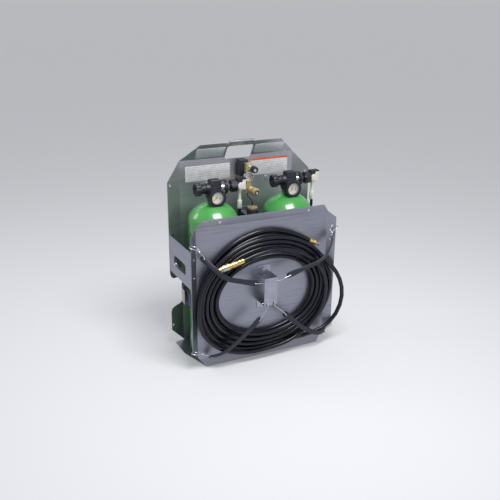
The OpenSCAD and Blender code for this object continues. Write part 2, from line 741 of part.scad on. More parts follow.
// Rubber straps: flat bands over the coil, wide at both ends, each end with a hole for its hook
ul_pts = [[-236, -125, 411], [-206, -163, 378], [-172, -178, 346], [-112, -176, 322], [-52, -171, 304]];
ur_pts = [[260, -132, 420], [236, -155, 384], [200, -166, 348], [131, -169, 328], [59, -171, 312]];
ll_pts = [[-214, -126, 40], [-180, -157, 60], [-136, -169.5, 92], [-86, -171, 132], [-38, -171, 174]];
lr_pts = [[250, -134, 54], [204, -157, 58], [142, -165, 92], [96, -168, 132], [50, -171, 174]];

// Rings of a strap along its line; the twist runs from angle a to angle b
function strap_width(u) = 17 + 4 * smooth((u - 0.7) / 0.25) + 3 * smooth((0.2 - u) / 0.2);
function strap_rings(p, a, b) = let (n = len(p) - 1) [for (i = [0 : n])
    let (t = tangent(p, i), w0 = unit(cross(t, [0, 1, 0])), h0 = unit(cross(w0, t)),
        q = mix(a, b, smooth(i / n)), w = (cos(q) * w0 + sin(q) * h0) * strap_width(i / n) / 2,
        h = 2.4 * (cos(q) * h0 - sin(q) * w0))
    [p[i] - w - h, p[i] - w + h, p[i] + w + h, p[i] + w - h]];

// Hole places: just inside the ends of a strap
function hole_out(p) = p[0] + 9 * unit(p[1] - p[0]);
function hole_in(p) = p[4] + 11 * unit(p[3] - p[4]);

module rubber_strap(p, a = 0, b = 0) color("#20222e") difference() {
    loft(strap_rings(spline(p, 5), a, b));
    for (h = [hole_out(p), hole_in(p)]) translate(h) rotate([90, 0, 0])
        cylinder(h = 60, r = 2.8, center = true, $fn = 12);
}

module upper_left_strap() rubber_strap(ul_pts);

module upper_right_strap() rubber_strap(ur_pts, 40, 0);

module lower_left_strap() rubber_strap(ll_pts, -26, -6);

module lower_right_strap() rubber_strap(lr_pts);

// Wire hooks: from a hole in the frame, out, along and back through the strap's end
module wire_hook(a, b, front) pipe([[a[0], a[1] + 7, a[2]], [a[0], front, a[2]], [b[0], front, b[2]],
    [b[0], b[1] + 6, b[2]]], wire_d / 2);

module bracket_hooks() color("#d4d8dd") {
    y = front_y - fit - 56 - sheet / 2;
    wire_hook([-15, y, 302], hole_in(ul_pts), y - 9);
    wire_hook([15, y, 302], hole_in(ur_pts), y - 9);
    wire_hook([-15, y, 224], hole_in(ll_pts), y - 9);
    wire_hook([15, y, 224], hole_in(lr_pts), y - 9);
}

module corner_hook(s, z, h, front) {
    x = front_half + hook_u * cos(side_lip_angle);
    y = front_y - hook_u * sin(side_lip_angle) + 1;
    wire_hook([s * x, y, z], h, front);
}

module corner_hooks() color("#d4d8dd") {
    corner_hook(-1, hook_z[1], hole_out(ul_pts), -142);
    corner_hook(1, hook_z[1], hole_out(ur_pts), -148);
    corner_hook(-1, hook_z[0], hole_out(ll_pts), -142);
    corner_hook(1, hook_z[0], hole_out(lr_pts), -142);
}

rear_panel();
front_panel();
base_plate();
left_side_panel();
right_side_panel();
handle_grip();
hose_bracket();
frame_rivets();
panel_bolts();
harness_eyelets();
left_cylinder();
right_cylinder();
left_valve_body();
right_valve_body();
left_valve_knob();
right_valve_knob();
left_valve_outlet();
right_valve_outlet();
left_gauge_case();
right_gauge_case();
left_gauge_needle();
right_gauge_needle();
gauge_dials();
gauge_lenses();
left_coupling_nut();
right_coupling_nut();
left_hose_elbow();
right_hose_elbow();
left_pressure_hose();
right_pressure_hose();
reducer_body();
reducer_cap();
reducer_bracket();
manifold_block();
alarm_housing();
upper_outlet_socket();
upper_outlet_sleeve();
lower_outlet_socket();
lower_outlet_sleeve();
manifold_gauge_case();
manifold_gauge_needle();
supply_tube();
left_cylinder_strap();
right_cylinder_strap();
left_buckle_frame();
right_buckle_frame();
left_buckle_lever();
right_buckle_lever();
buckle_pins();
hose_coil();
hose_plug();
hose_coupler();
hose_coupler_sleeve();
upper_left_strap();
upper_right_strap();
lower_left_strap();
lower_right_strap();
corner_hooks();
bracket_hooks();
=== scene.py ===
import math

import bmesh
import bpy
from mathutils import Matrix, Vector


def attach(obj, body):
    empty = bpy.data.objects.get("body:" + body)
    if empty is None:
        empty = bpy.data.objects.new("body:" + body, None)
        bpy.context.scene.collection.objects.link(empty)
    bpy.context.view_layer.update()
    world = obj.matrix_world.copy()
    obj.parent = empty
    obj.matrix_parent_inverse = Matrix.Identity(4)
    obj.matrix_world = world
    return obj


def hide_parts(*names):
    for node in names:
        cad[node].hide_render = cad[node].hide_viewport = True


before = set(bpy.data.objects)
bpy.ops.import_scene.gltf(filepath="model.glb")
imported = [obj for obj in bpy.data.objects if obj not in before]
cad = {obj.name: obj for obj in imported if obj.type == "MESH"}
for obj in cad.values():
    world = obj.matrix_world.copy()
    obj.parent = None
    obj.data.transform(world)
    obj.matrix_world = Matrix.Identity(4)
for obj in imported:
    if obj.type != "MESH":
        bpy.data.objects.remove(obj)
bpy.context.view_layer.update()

# Camera: it stands to the left of the front and looks down on the pack from above its top edge.
# It has a normal lens, with the small shift that the picture's framing needs.
bpy.ops.object.select_all(action="DESELECT")
bpy.ops.object.camera_add(location=(-1.02022, -2.06517, 1.20271),
                          rotation=(math.radians(68.599), math.radians(-0.568), math.radians(-26.067)))
camera = bpy.context.object
camera.data.sensor_width = 36
camera.data.lens = 49.67
camera.data.shift_x = 0.0014
camera.data.shift_y = 0.03
bpy.context.scene.camera = camera


# Frame sheets: rear and front panels, floor, two sides and the hose bracket, folded from 2 mm aluminium.
# The sheet is left bare, so it has a satin rolled face that mirrors what is near it, and its sheared edges
# are rounded and carry a painted highlight.
def colour(code):
    parts = [int(code[i:i + 2], 16) / 255 for i in (1, 3, 5)]
    return tuple(c / 12.92 if c <= 0.04045 else ((c + 0.055) / 1.055) ** 2.4 for c in parts) + (1.0,)


def new_material(name, values):
    made = bpy.data.materials.new(name)
    made.use_nodes = True
    shader = made.node_tree.nodes["Principled BSDF"]
    for socket, value in values.items():
        shader.inputs[socket].default_value = value
    return made, shader


def add_node(made, kind, inputs, to=None, stops=None, **settings):
    node = made.node_tree.nodes.new(kind)
    for setting, value in settings.items():
        setattr(node, setting, value)
    for socket, value in inputs.items():
        if isinstance(value, bpy.types.NodeSocket):
            made.node_tree.links.new(value, node.inputs[socket])
        else:
            node.inputs[socket].default_value = value
    if stops:
        ramp = node.color_ramp.elements
        for point, (share, code) in zip(ramp, (stops[0], stops[-1])):
            point.position = share
            point.color = colour(code)
        for share, code in stops[1:-1]:
            ramp.new(share).color = colour(code)
    if to:
        made.node_tree.links.new(node.outputs[0], to[0].inputs[to[1]])
    return node


def dress(made, *names):
    for name in names:
        for slot in cad[name].material_slots:
            slot.material = made


def round_edges(piece, width, angle):
    bevel = piece.modifiers.new("softened_edges", "BEVEL")
    bevel.width = width
    bevel.segments = 2
    bevel.limit_method = "ANGLE"
    bevel.angle_limit = math.radians(angle)
    return bevel


# A node's loose triangles are joined and its flat faces cleared before its edges are rounded
def soften(width, *names, edge=None):
    for name in names:
        joined = cad[name].modifiers.new("joined_faces", "WELD")
        joined.merge_threshold = 0.00001
        flat = cad[name].modifiers.new("flat_faces", "DECIMATE")
        flat.decimate_type = "DISSOLVE"
        flat.angle_limit = math.radians(0.5)
        bevel = round_edges(cad[name], width, 30)
        if edge:
            cad[name].data.materials.append(edge)
            bevel.material = 1


# Rolled aluminium: satin, a little blue, with long faint streaks along the rolling and softer handling marks.
# The streaks are drawn 4 mm wide, because the real ones are too fine to show.
def rolled_sheet(name, dull, pale, *names):
    made, shader = new_material(name, {"Base Color": colour(pale), "Metallic": 0.9})
    spot = add_node(made, "ShaderNodeTexCoord", {}).outputs["Object"]
    along = add_node(made, "ShaderNodeMapping", {"Vector": spot, "Scale": (6.0, 6.0, 250.0)}).outputs[0]
    rolling = add_node(made, "ShaderNodeTexNoise", {"Vector": along, "Scale": 1.0, "Detail": 3.0})
    handling = add_node(made, "ShaderNodeTexNoise", {"Vector": spot, "Scale": 9.0, "Detail": 4.0})
    streaks = rolling.outputs["Fac"]
    marks = handling.outputs["Fac"]
    both = add_node(made, "ShaderNodeMath", {0: streaks, 1: marks}, operation="ADD").outputs[0]
    add_node(made, "ShaderNodeValToRGB", {"Fac": both}, (shader, "Base Color"), [(0.75, dull), (1.0, pale)])
    add_node(made, "ShaderNodeMapRange", {"Value": marks, "To Min": 0.32, "To Max": 0.48},
             (shader, "Roughness"))
    add_node(made, "ShaderNodeBump", {"Height": streaks, "Strength": 0.03, "Distance": 0.0003},
             (shader, "Normal"))
    dress(made, *names)


front_sheets = ("front_panel", "base_plate", "left_side_panel", "right_side_panel")
rolled_sheet("rolled_aluminium", "#8f91a0", "#9b9daa", *front_sheets, "reducer_bracket")
# The rear panel gets a paler copy of the same sheet, painted light for the strong light from above that falls
# on it
rolled_sheet("rolled_aluminium_painted_light", "#b3b4bf", "#bfc0c9", "rear_panel")


# Most other finishes have one pattern: patches, so many to the metre, that shift the shade and the gloss.
# Some have a finer grain that raises the face. Both are given as a count to the metre and a level of detail.
def mottled(name, patches, values, shades=None, gloss=None, grain=None, relief=None):
    made, shader = new_material(name, values)
    spot = add_node(made, "ShaderNodeTexCoord", {}).outputs["Object"]
    cloud = add_node(made, "ShaderNodeTexNoise", {"Vector": spot, "Scale": patches[0], "Detail": patches[1]})
    worn = cloud.outputs["Fac"]
    if shades:
        shader.inputs["Base Color"].default_value = colour(shades[1][1])
        add_node(made, "ShaderNodeValToRGB", {"Fac": worn}, (shader, "Base Color"), shades)
    if gloss:
        shader.inputs["Roughness"].default_value = sum(gloss) / 2
        add_node(made, "ShaderNodeMapRange", {"Value": worn, "To Min": gloss[0], "To Max": gloss[1]},
                 (shader, "Roughness"))
    if grain:
        fine = add_node(made, "ShaderNodeTexNoise", {"Vector": spot, "Scale": grain[0], "Detail": grain[1]})
        add_node(made, "ShaderNodeBump",
                 {"Height": fine.outputs["Fac"], "Strength": relief[0], "Distance": relief[1]},
                 (shader, "Normal"))
    return made


# Sheared edges: brushed round by deburring, and painted pale as a painted highlight, so they show as thin
# pale lines
edge_painted_highlight = mottled("sheared_edge_painted_highlight", (300, 2), {"Metallic": 0.25, "Roughness": 0.35},
                    shades=((0.3, "#dcdde0"), (0.7, "#f0f0f2")))
soften(0.00095, "rear_panel", *front_sheets, edge=edge_painted_highlight)

# Bright aluminium: the bracket is from a smoother sheet, so it mirrors the hose above it
bright_metal = mottled("bright_aluminium", (40, 4), {"Metallic": 1.0},
                       shades=((0.3, "#9b9cab"), (0.7, "#adaebb")), gloss=(0.22, 0.36))
dress(bright_metal, "hose_bracket")
soften(0.0004, "hose_bracket", "reducer_bracket")

# Handle grip: a split aluminium bead, pushed over the flange's top edge.
# Hands have rubbed it smooth, so it is glossier than the sheet below it.
bead_metal = mottled("polished_aluminium", (60, 3), {"Base Color": colour("#9fa1aa"), "Metallic": 0.9},
                     gloss=(0.24, 0.42))
dress(bead_metal, "handle_grip")


# Plates and cards: two bare foil plates, stuck on the rear panel's flange beside the handle's opening, and
# two printed vinyl cards, stuck on below its fold, the right one with a coloured band along its top.
def finish_edges(piece, width):
    angle = 35
    bpy.context.view_layer.objects.active = piece
    bevel = round_edges(piece, width, angle)
    bpy.ops.object.modifier_apply(modifier=bevel.name)
    bpy.ops.object.shade_smooth_by_angle(angle=math.radians(angle))


def plate(name, x, z, corner, thick, made, where):
    bpy.ops.object.select_all(action="DESELECT")
    bpy.ops.mesh.primitive_plane_add(size=1, rotation=(math.radians(90), 0, 0),
                                     location=((x[0] + x[1]) / 2000, 0, (z[0] + z[1]) / 2000))
    piece = bpy.context.object
    piece.name = name
    piece.scale = ((x[1] - x[0]) / 1000, (z[1] - z[0]) / 1000, 1)
    bpy.ops.object.transform_apply(location=True, rotation=True, scale=True)
    bpy.ops.object.mode_set(mode="EDIT")
    bpy.ops.mesh.bevel(offset=corner / 1000, segments=5, affect="VERTICES")
    bpy.ops.mesh.select_all(action="SELECT")
    bpy.ops.mesh.extrude_region_move(TRANSFORM_OT_translate={"value": (0, -thick / 1000, 0)})
    bpy.ops.mesh.select_all(action="SELECT")
    bpy.ops.mesh.normals_make_consistent(inside=False)
    bpy.ops.object.mode_set(mode="OBJECT")
    finish_edges(piece, thick / 4000)
    piece.matrix_world = where
    bpy.ops.object.transform_apply(location=True, rotation=True, scale=True)
    piece.data.materials.append(made)
    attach(piece, "pack")
    return piece


panel_face = 0.102
fold_height = 0.676
flange_lean = math.radians(32)
panel = Matrix.Translation((0, panel_face, 0))
flange = Matrix.Translation((0, panel_face, fold_height)) @ Matrix.Rotation(flange_lean, 4, "X")

# Anodised foil: pale silver with a fine satin, a shade lighter than the sheet behind it
foil = mottled("anodised_foil", (220, 3), {"Metallic": 0.25, "Roughness": 0.4},
               shades=((0.3, "#c9d0d7"), (0.7, "#dfe4e9")))
for name, x, z in (("left_foil_plate", (-163, -57), (5, 47)), ("right_foil_plate", (58, 172), (9, 48))):
    plate(name, x, z, corner=2, thick=0.5, made=foil, where=flange)

# Printed vinyl card: off-white, with plain grey rules every 6.5 mm, broken up as worn print is
rule_step = 0.0065
card, shader = new_material("printed_vinyl", {"Base Color": colour("#c2c2c4"), "Roughness": 0.45})
spot = add_node(card, "ShaderNodeTexCoord", {}).outputs["Object"]
height = add_node(card, "ShaderNodeSeparateXYZ", {"Vector": spot}).outputs["Z"]
rows = add_node(card, "ShaderNodeMath", {0: height, 1: rule_step}, operation="DIVIDE")
rule = add_node(card, "ShaderNodeMath", {0: rows.outputs[0]}, operation="FRACT")
broken = add_node(card, "ShaderNodeTexNoise", {"Vector": spot, "Scale": 60.0, "Detail": 2.0})
ink = add_node(card, "ShaderNodeMath", {0: rule.outputs[0], 1: broken.outputs["Fac"]}, operation="MULTIPLY")
add_node(card, "ShaderNodeValToRGB", {"Fac": ink.outputs[0]}, (shader, "Base Color"),
         [(0.0, "#cacacc"), (0.3, "#c2c2c4"), (0.42, "#a6a6aa"), (0.5, "#98989e")])
band_ink = mottled("printed_vinyl_orange", (40, 3), {"Roughness": 0.45},
                   shades=((0.3, "#b9472a"), (0.7, "#cf6238")))
for name, x, z in (("left_card", (-198, -30), (600, 654)), ("right_card", (50, 200), (600, 653))):
    plate(name, x, z, corner=1.5, thick=0.4, made=card, where=panel)
band = plate("right_card_band", (50, 200), (653.3, 660.3), corner=1, thick=0.4, made=band_ink, where=panel)

# Fasteners: aluminium rivets at the sides and the front lip, zinc-plated bolts and nuts, and rolled eyelets
# in the wings. All are bright metal with a fine haze, duller in patches.
fasteners = ("frame_rivets", "panel_bolts", "harness_eyelets")
zinc = mottled("zinc_plated_steel", (180, 3), {"Metallic": 1.0},
               shades=((0.3, "#c3c7ce"), (0.7, "#dde0e4")), gloss=(0.2, 0.38))
dress(zinc, *fasteners)
soften(0.0004, *fasteners)

# Air cylinders: two spun aluminium bottles with a domed shoulder and a short neck.
# They stand on the floor sheet and are held by the webbing straps.
# Sprayed enamel: a glossy green, a little cloudy, with a faint orange peel
enamel = mottled("green_enamel", (7, 3), {"Roughness": 0.28, "Coat Weight": 0.6, "Coat Roughness": 0.08},
                 shades=((0.35, "#388c41"), (0.65, "#47994a")), grain=(260, 1), relief=(0.04, 0.0005))
dress(enamel, "left_cylinder", "right_cylinder")

# Valves, knobs, coupling nuts, gauge cases, alarm housing and reducer: metal under black moulded covers.
# The covers are a hard rubbery nylon, spark-textured in the mould, with a dull sheen.
moulded = [side + part for side in ("left", "right")
           for part in ("_valve_body", "_valve_knob", "_gauge_case", "_coupling_nut")]
moulded += ["reducer_body", "alarm_housing", "upper_outlet_sleeve"]
moulding = mottled("moulded_nylon", (35, 4), {}, shades=((0.3, "#15161e"), (0.7, "#21232e")),
                   gloss=(0.36, 0.54), grain=(900, 2), relief=(0.15, 0.0003))
dress(moulding, *moulded)
soften(0.001, *moulded)

# Valve outlets, upper outlet, small gauge and hose elbows: turned brass, plated with chrome or satin nickel.
# A black rubber ring is pressed on each valve outlet's flange to guard it.
plated = ("left_valve_outlet", "right_valve_outlet", "upper_outlet_socket", "manifold_gauge_case")
elbows = ("left_hose_elbow", "right_hose_elbow")
# Chrome plate: a clear mirror, smeared in patches
chrome = mottled("chrome_plate", (80, 3), {"Base Color": colour("#d2d3d7"), "Metallic": 1.0},
                 gloss=(0.1, 0.24))
dress(chrome, *plated)
# Satin nickel: warm, too dull to mirror the cylinders, and painted paler than bare nickel as a painted
# highlight for the bright light the plated parts catch
nickel_plate_painted_highlight = mottled("satin_nickel_painted_highlight", (110, 3), {"Metallic": 0.55},
                      shades=((0.3, "#e6e1d7"), (0.7, "#f4f1e9")), gloss=(0.28, 0.42))
dress(nickel_plate_painted_highlight, *elbows)
soften(0.0008, *plated, *elbows)


def spun(name, outline, where, made, body="pack"):
    bpy.ops.object.select_all(action="DESELECT")
    bpy.ops.mesh.primitive_circle_add(vertices=len(outline), radius=0.01)
    piece = bpy.context.object
    piece.name = name
    bpy.ops.object.mode_set(mode="EDIT")
    cage = bmesh.from_edit_mesh(piece.data)
    for vertex, (r, z) in zip(cage.verts, outline):
        vertex.co = (r / 1000, 0, z / 1000)
    bmesh.update_edit_mesh(piece.data)
    bpy.ops.mesh.select_all(action="SELECT")
    bpy.ops.mesh.spin(steps=48, angle=2 * math.pi, center=(0, 0, 0), axis=(0, 0, 1))
    bpy.ops.mesh.select_all(action="SELECT")
    bpy.ops.mesh.remove_doubles(threshold=0.00001)
    bpy.ops.mesh.normals_make_consistent(inside=False)
    bpy.ops.object.mode_set(mode="OBJECT")
    bpy.ops.object.shade_smooth_by_angle(angle=math.radians(35))
    piece.matrix_world = where
    bpy.ops.object.transform_apply(location=True, rotation=True, scale=True)
    for each in made:
        piece.data.materials.append(each)
    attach(piece, body)
    return piece


valve_x = {"left": -143, "right": 143}
valve_y = -9
valve_z = 602
guard_outline = [(21.2, 37.6), (22, 36.9), (23.6, 36.9), (24.4, 37.8), (24.4, 46.2), (23.6, 47.1), (22, 47.1),
                 (21.2, 46.4)]
for side, x in valve_x.items():
    centre = Matrix.Translation((x / 1000, valve_y / 1000, valve_z / 1000))
    place = centre @ Matrix.Rotation(math.radians(90), 4, "Y")
    ring = spun(side + "_guard_ring", guard_outline, place, [moulding])


# Elbow covers: a black moulded guard over each hose elbow, between the coupling nut and the elbow's block.
# It clips on from above, so the plated elbow shows below it and in front.
def swept(name, rings, made):
    bpy.ops.object.select_all(action="DESELECT")
    bpy.ops.mesh.primitive_circle_add(vertices=len(rings[0]), radius=0.01, fill_type="NGON", calc_uvs=False)
    piece = bpy.context.object
    piece.name = name
    bpy.ops.object.mode_set(mode="EDIT")
    for i, ring in enumerate(rings):
        if i:
            bpy.ops.mesh.extrude_region_move(TRANSFORM_OT_translate={"value": (0, 0, 0)})
        cage = bmesh.from_edit_mesh(piece.data)
        end = next(f for f in cage.faces if f.select)
        for vertex, point in zip(end.verts, ring):
            vertex.co = point
        bmesh.update_edit_mesh(piece.data)
    bpy.ops.mesh.select_all(action="SELECT")
    bpy.ops.mesh.normals_make_consistent(inside=False)
    bpy.ops.object.mode_set(mode="OBJECT")
    bpy.ops.object.shade_smooth_by_angle(angle=math.radians(40))
    piece.data.materials.append(made)
    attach(piece, "pack")
    return piece


cover_outline = [(86.2, 12.4), (104.2, 12.4), (104.2, 20.3), (119.5, 20.3), (119.5, 25), (86.2, 25)]
cover_ends = (-12.6, 11)
cover_edge = 0.0014
for side, x in valve_x.items():
    rings = [[Vector((x + u, valve_y + y, valve_z + w)) / 1000 for u, w in cover_outline] for y in cover_ends]
    cover = swept(side + "_elbow_cover", rings, moulding)
    finish_edges(cover, cover_edge)

# Gauges: cream card dials under clear lenses, with black needles.
# Each dial has a scale of short strokes over three quarters of a turn, and a red stretch at its end.
paper = colour("#efe4c6")
red_ink = colour("#b4473a")
black_ink = colour("#3a3630")
strokes = 40
scale_half = 2.36
print_card, shader = new_material("printed_dial_card", {"Base Color": paper, "Roughness": 0.55})
spot = add_node(print_card, "ShaderNodeUVMap", {}).outputs[0]
parts = add_node(print_card, "ShaderNodeSeparateXYZ", {"Vector": spot}).outputs
turn = add_node(print_card, "ShaderNodeMath", {0: parts["X"], 1: parts["Y"]}, operation="ARCTAN2").outputs[0]
reach = add_node(print_card, "ShaderNodeVectorMath", {0: spot}, operation="LENGTH").outputs["Value"]
count = add_node(print_card, "ShaderNodeMath", {0: turn, 1: strokes / (2 * math.pi)}, operation="MULTIPLY")
stroke = add_node(print_card, "ShaderNodeMath", {0: count.outputs[0], 1: 1.0}, operation="PINGPONG")
thin = add_node(print_card, "ShaderNodeMath", {0: stroke.outputs[0], 1: 0.3}, operation="LESS_THAN")
rim = add_node(print_card, "ShaderNodeMath", {0: reach, 1: 0.82, 2: 0.1}, operation="COMPARE")
on_scale = add_node(print_card, "ShaderNodeMath", {0: turn, 1: 0.0, 2: scale_half}, operation="COMPARE")
at_rim = add_node(print_card, "ShaderNodeMath", {0: thin.outputs[0], 1: rim.outputs[0]}, operation="MULTIPLY")
drawn = add_node(print_card, "ShaderNodeMath", {0: at_rim.outputs[0], 1: on_scale.outputs[0]},
                 operation="MULTIPLY")
red_turn = add_node(print_card, "ShaderNodeMath", {0: turn, 1: 1.9, 2: 0.45}, operation="COMPARE")
red_reach = add_node(print_card, "ShaderNodeMath", {0: reach, 1: 0.62, 2: 0.1}, operation="COMPARE")
red = add_node(print_card, "ShaderNodeMath", {0: red_turn.outputs[0], 1: red_reach.outputs[0]},
               operation="MULTIPLY")
tinted = add_node(print_card, "ShaderNodeMix", {0: red.outputs[0], 6: paper, 7: red_ink}, data_type="RGBA")
inked = add_node(print_card, "ShaderNodeMix", {0: drawn.outputs[0], 6: tinted.outputs[2], 7: black_ink},
                 data_type="RGBA")
print_card.node_tree.links.new(inked.outputs[2], shader.inputs["Base Color"])


dial_thickness = 0.0008
dial_margin = 0.0006


def dial(name, centre, radius):
    bpy.ops.object.select_all(action="DESELECT")
    bpy.ops.mesh.primitive_circle_add(vertices=48, radius=radius / 1000, fill_type="NGON", calc_uvs=False,
                                      rotation=(math.radians(90), 0, 0), location=Vector(centre) / 1000)
    piece = bpy.context.object
    piece.name = name
    bpy.ops.object.transform_apply(location=True, rotation=True, scale=True)
    bpy.ops.object.mode_set(mode="EDIT")
    bpy.ops.mesh.select_all(action="SELECT")
    bpy.ops.mesh.extrude_region_move(TRANSFORM_OT_translate={"value": (0, -dial_thickness, 0)})
    bpy.ops.mesh.inset(thickness=dial_margin, depth=0.0)
    bpy.ops.mesh.select_all(action="SELECT")
    bpy.ops.mesh.normals_make_consistent(inside=False)
    bpy.ops.object.mode_set(mode="OBJECT")
    layer = piece.data.uv_layers.new(name="dial")
    for loop in piece.data.loops:
        p = piece.data.vertices[loop.vertex_index].co * 1000
        layer.data[loop.index].uv = ((p.x - centre[0]) / radius, (p.z - centre[2]) / radius)
    piece.data.materials.append(print_card)
    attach(piece, "pack")
    return piece


for side, x in valve_x.items():
    dial(side + "_dial", (x, -40.05, 577), 20.8)
small_dial = dial("small_dial", (9, 34.95, 616), 14.3)
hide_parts("gauge_dials")

# Needle enamel: flat black with a few glossier flecks. Clear polycarbonate: a thin gloss, dulled by wiping.
needle_paint = mottled("needle_enamel", (600, 2), {"Base Color": colour("#17171b")}, gloss=(0.32, 0.5))
dress(needle_paint, "left_gauge_needle", "right_gauge_needle", "manifold_gauge_needle")
lens = mottled("clear_polycarbonate", (120, 2), {"Base Color": colour("#eef2f4"), "Alpha": 0.14, "IOR": 1.58},
               gloss=(0.02, 0.12))
dress(lens, "gauge_lenses")

# Regulator group: a brass bar and outlet, the reducer's brass cap, and a bent steel tube between them.
# The brass is forged, tumbled and left bare, so it is a pale dull yellow with brown tarnish in patches.
dull_brass = mottled("forged_brass", (90, 4), {"Metallic": 0.75},
                     shades=((0.3, "#bfa873"), (0.62, "#e2d3ab")), gloss=(0.46, 0.3))
brass_nodes = ("manifold_block", "lower_outlet_socket", "lower_outlet_sleeve", "reducer_cap")
dress(dull_brass, *brass_nodes)
soften(0.0008, *brass_nodes)

# A black ring lies round the bore on each outlet's mouth, and a check valve sits inside it
black_ring_lip = [(5.6, 0.05), (5.6, 0.6), (6.4, 1.2)]
valve_outline = [(0, -2), (2.4, -2.2), (4.2, -3), (5.1, -4.6), (5.1, -12), (0, -12)]
for name, (x, y, z), rim in (("upper", (20, 2, 644), [(11, 0.8), (11, -2.6), (10.25, -2.6), (10.25, 0.05)]),
                             ("lower", (22, -10, 567), [(9.2, 0.8), (9.2, 0.05)])):
    place = Matrix.Translation((x / 1000, y / 1000, z / 1000)) @ Matrix.Rotation(math.radians(90), 4, "X")
    ring = spun(name + "_outlet_black_ring", black_ring_lip + [(rim[0][0] - 0.6, 1.2)] + rim, place, [moulding])
    # The check valve is in the same satin nickel, with its painted highlight
    valve = spun(name + "_outlet_valve", valve_outline, place, [nickel_plate_painted_highlight])


def round_run(name, points, radius, made, kind="POLY"):
    line = bpy.data.curves.new(name, "CURVE")
    line.dimensions = "3D"
    run = line.splines.new(kind)
    run.points.add(len(points) - 1)
    for p, q in zip(run.points, points):
        p.co = (*q, 1)
    if kind == "NURBS":
        run.order_u = 3
        run.use_endpoint_u = True
        run.resolution_u = 8
    line.bevel_depth = radius
    line.bevel_resolution = 4
    line.use_fill_caps = True
    line.materials.append(made)
    piece = bpy.data.objects.new(name, line)
    bpy.context.scene.collection.objects.link(piece)
    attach(piece, "pack")
    return piece


# Drawn stainless steel: darker than the plating, with a soft sheen along the tube
drawn_steel = mottled("drawn_stainless_steel", (200, 2), {"Base Color": colour("#74777b"), "Metallic": 1.0},
                      gloss=(0.2, 0.36))
tube_radius = 0.0032
tube_points = ((22, 25, 514.1), (22, 25, 527), (20, 31, 533), (16, 43, 538), (14, 49, 544), (14, 49, 556))
tube = round_run("bent_supply_tube", [Vector(p) / 1000 for p in tube_points], tube_radius, drawn_steel,
                 "NURBS")
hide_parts("supply_tube")


# Pressure hoses: two black rubber hoses of 10 mm, crimped to the elbows, that feed the reducer.
# The left one bends straight in to it, and the right one runs round behind its cylinder.
def run_length(points):
    return sum((b - a).length for a, b in zip(points, points[1:]))


# A smooth line through points in millimetres, with m short steps from each point to the next
def eased(points, m):
    line = []
    for i in range(len(points) - 1):
        a, b, c, d = (Vector(points[max(0, min(len(points) - 1, i + k))]) / 1000 for k in (-1, 0, 1, 2))
        for j in range(m):
            u = j / m
            line.append(0.5 * (2 * b + (c - a) * u + (2 * a - 5 * b + 4 * c - d) * u ** 2
                               + (3 * b - a - 3 * c + d) * u ** 3))
    return line + [Vector(points[-1]) / 1000]


# Extruded rubber: nearly black with a blue cast and a soft sheen, dusted a little paler in patches
hose_rubber = mottled("extruded_rubber", (22, 3), {"Specular IOR Level": 0.4},
                      shades=((0.35, "#0c0d17"), (0.7, "#151826")), gloss=(0.18, 0.32),
                      grain=(700, 2), relief=(0.12, 0.0004))
left_feed = eased([(-44, -9, 520.9), (-44, -9, 500), (-43, -7, 470), (-35, 9, 444), (-20, 24, 432),
                   (-18, 25, 430), (-8.2, 25, 430)], 8)
right_feed = eased([(242, -9, 520.9), (242, -9, 500), (242, -4, 470), (241, 28, 446), (234, 60, 434),
                    (212, 84, 430), (172, 90, 430), (112, 90, 430), (70, 89, 430), (40, 84, 430),
                    (25, 72, 430), (22, 62, 430), (22, 56.2, 430)], 6)
feed_radius = 0.005
for side, points in (("left", left_feed), ("right", right_feed)):
    feed = round_run(side + "_feed_hose", points, feed_radius, hose_rubber)
    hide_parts(side + "_pressure_hose")

# Cylinder straps: 50 mm navy polyester webbing round each cylinder and through the rear panel.
# A steel cam buckle at the outer side pulls each one tight; its lever hinges on a pin.
# Woven polyester: navy, faded a little in patches, with cross ribs.
# The ribs are drawn 2.5 mm apart, because the real ones of 1.5 mm are too fine to show.
rib_step = 0.0025
webbing, shader = new_material("woven_polyester", {"Base Color": colour("#252f5c"), "Roughness": 0.72,
                                                   "Sheen Weight": 0.25})
spot = add_node(webbing, "ShaderNodeUVMap", {}).outputs[0]
ribs = add_node(webbing, "ShaderNodeTexWave", {"Vector": spot, "Scale": 2 * math.pi / (20 * rib_step),
                                               "Distortion": 0.4, "Detail": 2.0}).outputs["Fac"]
fade = add_node(webbing, "ShaderNodeTexNoise", {"Vector": spot, "Scale": 45.0, "Detail": 3.0}).outputs["Fac"]
yarn = add_node(webbing, "ShaderNodeMath", {0: ribs, 1: fade}, operation="ADD").outputs[0]
add_node(webbing, "ShaderNodeValToRGB", {"Fac": yarn}, (shader, "Base Color"),
         [(0.35, "#1e274e"), (1.0, "#2c3768")])
add_node(webbing, "ShaderNodeBump", {"Height": ribs, "Strength": 0.4, "Distance": 0.0005}, (shader, "Normal"))


def mix(a, b, u):
    return a + (b - a) * u


# The right strap's line from above, round its cylinder's axis: from the buckle back along the outer side,
# across behind the rear panel, forward, round the front of the cylinder and back to the buckle
def band_line():
    lean = math.radians(5)
    r = 88.0
    back = 114.4
    buckle = 62
    fold = 6

    def outer(d):
        return Vector((r * math.cos(lean) - d * math.sin(lean), r * math.sin(lean) + d * math.cos(lean), 0))

    far = (back - r * math.sin(lean)) / math.cos(lean)
    line = [outer(buckle + (far - fold - buckle) * i / 4) for i in range(5)]
    corner = outer(far)
    line += [corner + Vector((-2.2, -1.6, 0)), corner + Vector((-fold, 0, 0))]
    line += [Vector((mix(corner.x - fold, -r + fold, i / 8), back, 0)) for i in range(1, 9)]
    line += [Vector((-r + 1.6, back - 1.6, 0)), Vector((-r, back - fold, 0))]
    line += [Vector((-r, mix(back - fold, 0, i / 6), 0)) for i in range(1, 7)]
    line += [Vector((r * math.cos(q), r * math.sin(q), 0))
             for q in (math.pi + (math.pi + lean) * i / 48 for i in range(1, 49))]
    line += [outer((buckle - 0.4) * i / 4) for i in range(1, 5)]
    return line


